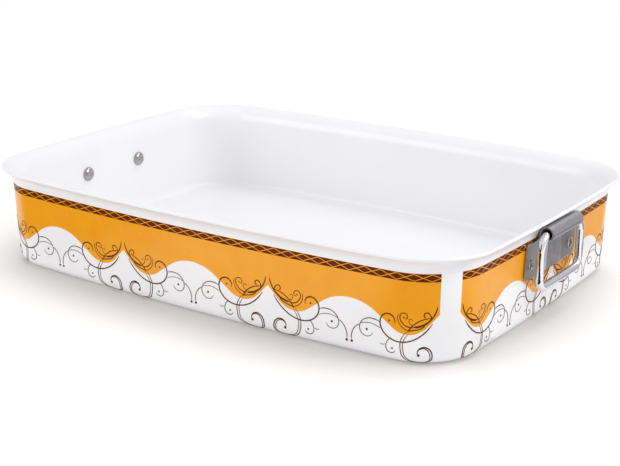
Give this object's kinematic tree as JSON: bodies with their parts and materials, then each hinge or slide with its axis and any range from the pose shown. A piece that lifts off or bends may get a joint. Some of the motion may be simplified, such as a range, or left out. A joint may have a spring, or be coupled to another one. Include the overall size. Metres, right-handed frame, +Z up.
{
  "type": "roasting pan",
  "caption": "Deep rectangular coated roasting pan with a flared lip, a printed band round the outside and a swinging drop handle riveted to each short end.",
  "frame": {"origin": "middle of the base's underside, on the surface that the pan stands on", "axes": "+X along the pan's length towards the right handle, +Y across it towards the back side, +Z up out of the open top"},
  "size_m": [0.4086, 0.287, 0.0715],
  "materials": {
    "coated_sheet": "pressed aluminium sheet with a glossy white ceramic coating in and out; the outside carries a printed orange and brown band",
    "bracket_steel": "stamped stainless sheet, brushed up and down",
    "rivet_metal": "polished domed rivets",
    "handle_rod": "bent steel rod, bright chrome plate"
  },
  "bodies": {
    "pan": {"pan_shell": "coated_sheet", "bracket_left": "bracket_steel", "bracket_right": "bracket_steel", "rivet_left_front": "rivet_metal", "rivet_left_back": "rivet_metal", "rivet_right_front": "rivet_metal", "rivet_right_back": "rivet_metal"},
    "left_handle": {"bail_left": "handle_rod"},
    "right_handle": {"bail_right": "handle_rod"}
  },
  "joints": [
    {"name": "left_handle_swing", "type": "hinge", "parent": "pan", "child": "left_handle", "pos_m": [-0.19944, 0, 0.06265], "axis": [0, 1, 0], "range_deg": [-5, 152]},
    {"name": "right_handle_swing", "type": "hinge", "parent": "pan", "child": "right_handle", "pos_m": [0.19944, 0, 0.06265], "axis": [0, -1, 0], "range_deg": [-5, 152]}
  ]
}
